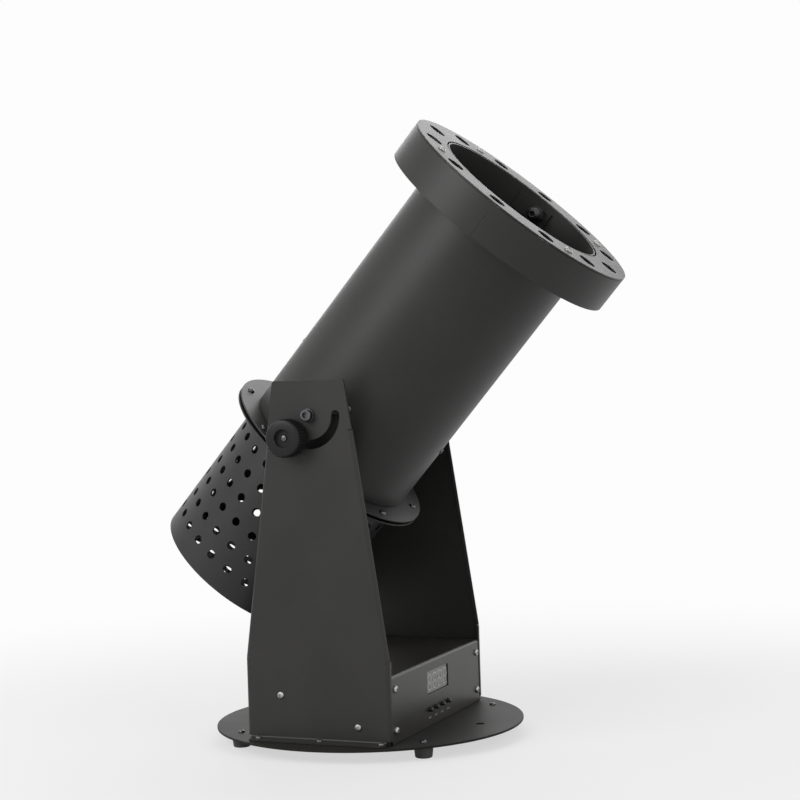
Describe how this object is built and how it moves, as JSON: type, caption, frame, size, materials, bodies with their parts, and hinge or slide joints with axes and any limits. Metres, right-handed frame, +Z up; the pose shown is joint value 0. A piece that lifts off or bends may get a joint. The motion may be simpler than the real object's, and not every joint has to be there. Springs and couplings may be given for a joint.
{
  "type": "confetti blower",
  "caption": "Stage confetti blower: a fan barrel with a perforated intake and a wide ring of round lights at its mouth tilts between two tall side plates on a round base with a control box.",
  "frame": {"origin": "on the floor, under the middle of the outer box", "axes": "+Z up; the control panel faces -Y; the two side plates and the tilt axis lie across X; the muzzle leans towards -Y"},
  "size_m": [0.2794, 0.432, 0.5496],
  "materials": {
    "black_steel": "satin black powder coat",
    "inner_steel": "matt black powder coat",
    "bare_metal": "zinc plated",
    "dark_metal": "blackened steel",
    "motor_case": "satin dark grey",
    "heat_sink": "bare",
    "foot_rubber": "matt grey",
    "gasket_rubber": "matt black",
    "dark_plastic": "matt black",
    "knob_plastic": "satin black",
    "rotor_plastic": "moulded black nylon",
    "display_face": "grey with pale segments",
    "clear_lens": "clear",
    "white_board": "white coated",
    "board_green": "green circuit board"
  },
  "bodies": {
    "stand": {"base_disc": "black_steel", "foot_1": "foot_rubber", "foot_2": "foot_rubber", "foot_3": "foot_rubber", "foot_4": "foot_rubber", "left_side_plate": "black_steel", "right_side_plate": "black_steel", "left_inner_plate": "inner_steel", "right_inner_plate": "inner_steel", "left_pivot_bush": "dark_plastic", "right_pivot_bush": "dark_plastic", "front_cover": "black_steel", "rear_panel": "black_steel", "display_module": "display_face", "control_board": "board_green", "power_inlet": "dark_plastic", "signal_in_socket": "dark_metal", "signal_out_socket": "dark_metal", "power_supply": "bare_metal", "fan_driver": "heat_sink"},
    "barrel": {"barrel_tube": "black_steel", "upper_flange": "black_steel", "flange_gasket": "gasket_rubber", "lower_flange": "black_steel", "intake_guard": "black_steel", "intake_grille": "black_steel", "muzzle_housing": "black_steel", "muzzle_face": "black_steel", "lens_ring": "clear_lens", "led_board": "white_board", "muzzle_screw_1": "dark_metal", "muzzle_screw_2": "dark_metal", "muzzle_screw_3": "dark_metal", "muzzle_screw_4": "dark_metal", "gland_plate": "inner_steel", "lead_gland": "dark_plastic", "motor_mount": "bare_metal", "fan_motor": "motor_case", "confetti_screen": "bare_metal", "left_bracket": "inner_steel", "right_bracket": "inner_steel", "left_pivot_bolt": "dark_metal", "right_pivot_bolt": "dark_metal", "left_lock_stud": "dark_metal", "right_lock_stud": "dark_metal", "left_knob_washer": "dark_metal", "right_knob_washer": "dark_metal"},
    "rotor": {"motor_shaft": "bare_metal", "fan_rotor": "rotor_plastic", "rotor_nut": "bare_metal"},
    "left_knob": {"left_lock_knob": "knob_plastic"},
    "right_knob": {"right_lock_knob": "knob_plastic"},
    "button_1": {"menu_button_1": "dark_plastic"},
    "button_2": {"menu_button_2": "dark_plastic"},
    "button_3": {"menu_button_3": "dark_plastic"},
    "button_4": {"menu_button_4": "dark_plastic"}
  },
  "joints": [
    {"name": "barrel_tilt", "type": "hinge", "parent": "stand", "child": "barrel", "pos_m": [0, 0.02928, 0.2925], "axis": [1, 0, 0], "range_deg": [-131.3, 18.7]},
    {"name": "rotor_spin", "type": "hinge", "parent": "barrel", "child": "rotor", "pos_m": [0, 0.00486, 0.3203], "axis": [0, -0.66, 0.7513], "continuous": true},
    {"name": "left_knob_turn", "type": "hinge", "parent": "barrel", "child": "left_knob", "pos_m": [-0.12, 0.04591, 0.27357], "axis": [-1, 0, 0], "range_deg": [0, 360]},
    {"name": "right_knob_turn", "type": "hinge", "parent": "barrel", "child": "right_knob", "pos_m": [0.12, 0.04591, 0.27357], "axis": [1, 0, 0], "range_deg": [0, 360]},
    {"name": "button_1_press", "type": "slide", "parent": "stand", "child": "button_1", "axis": [0, 1, 0], "range_m": [0, 0.0005], "stiffness_N_per_m": 600, "springref_m": -0.001},
    {"name": "button_2_press", "type": "slide", "parent": "stand", "child": "button_2", "axis": [0, 1, 0], "range_m": [0, 0.0005], "stiffness_N_per_m": 600, "springref_m": -0.001},
    {"name": "button_3_press", "type": "slide", "parent": "stand", "child": "button_3", "axis": [0, 1, 0], "range_m": [0, 0.0005], "stiffness_N_per_m": 600, "springref_m": -0.001},
    {"name": "button_4_press", "type": "slide", "parent": "stand", "child": "button_4", "axis": [0, 1, 0], "range_m": [0, 0.0005], "stiffness_N_per_m": 600, "springref_m": -0.001}
  ]
}
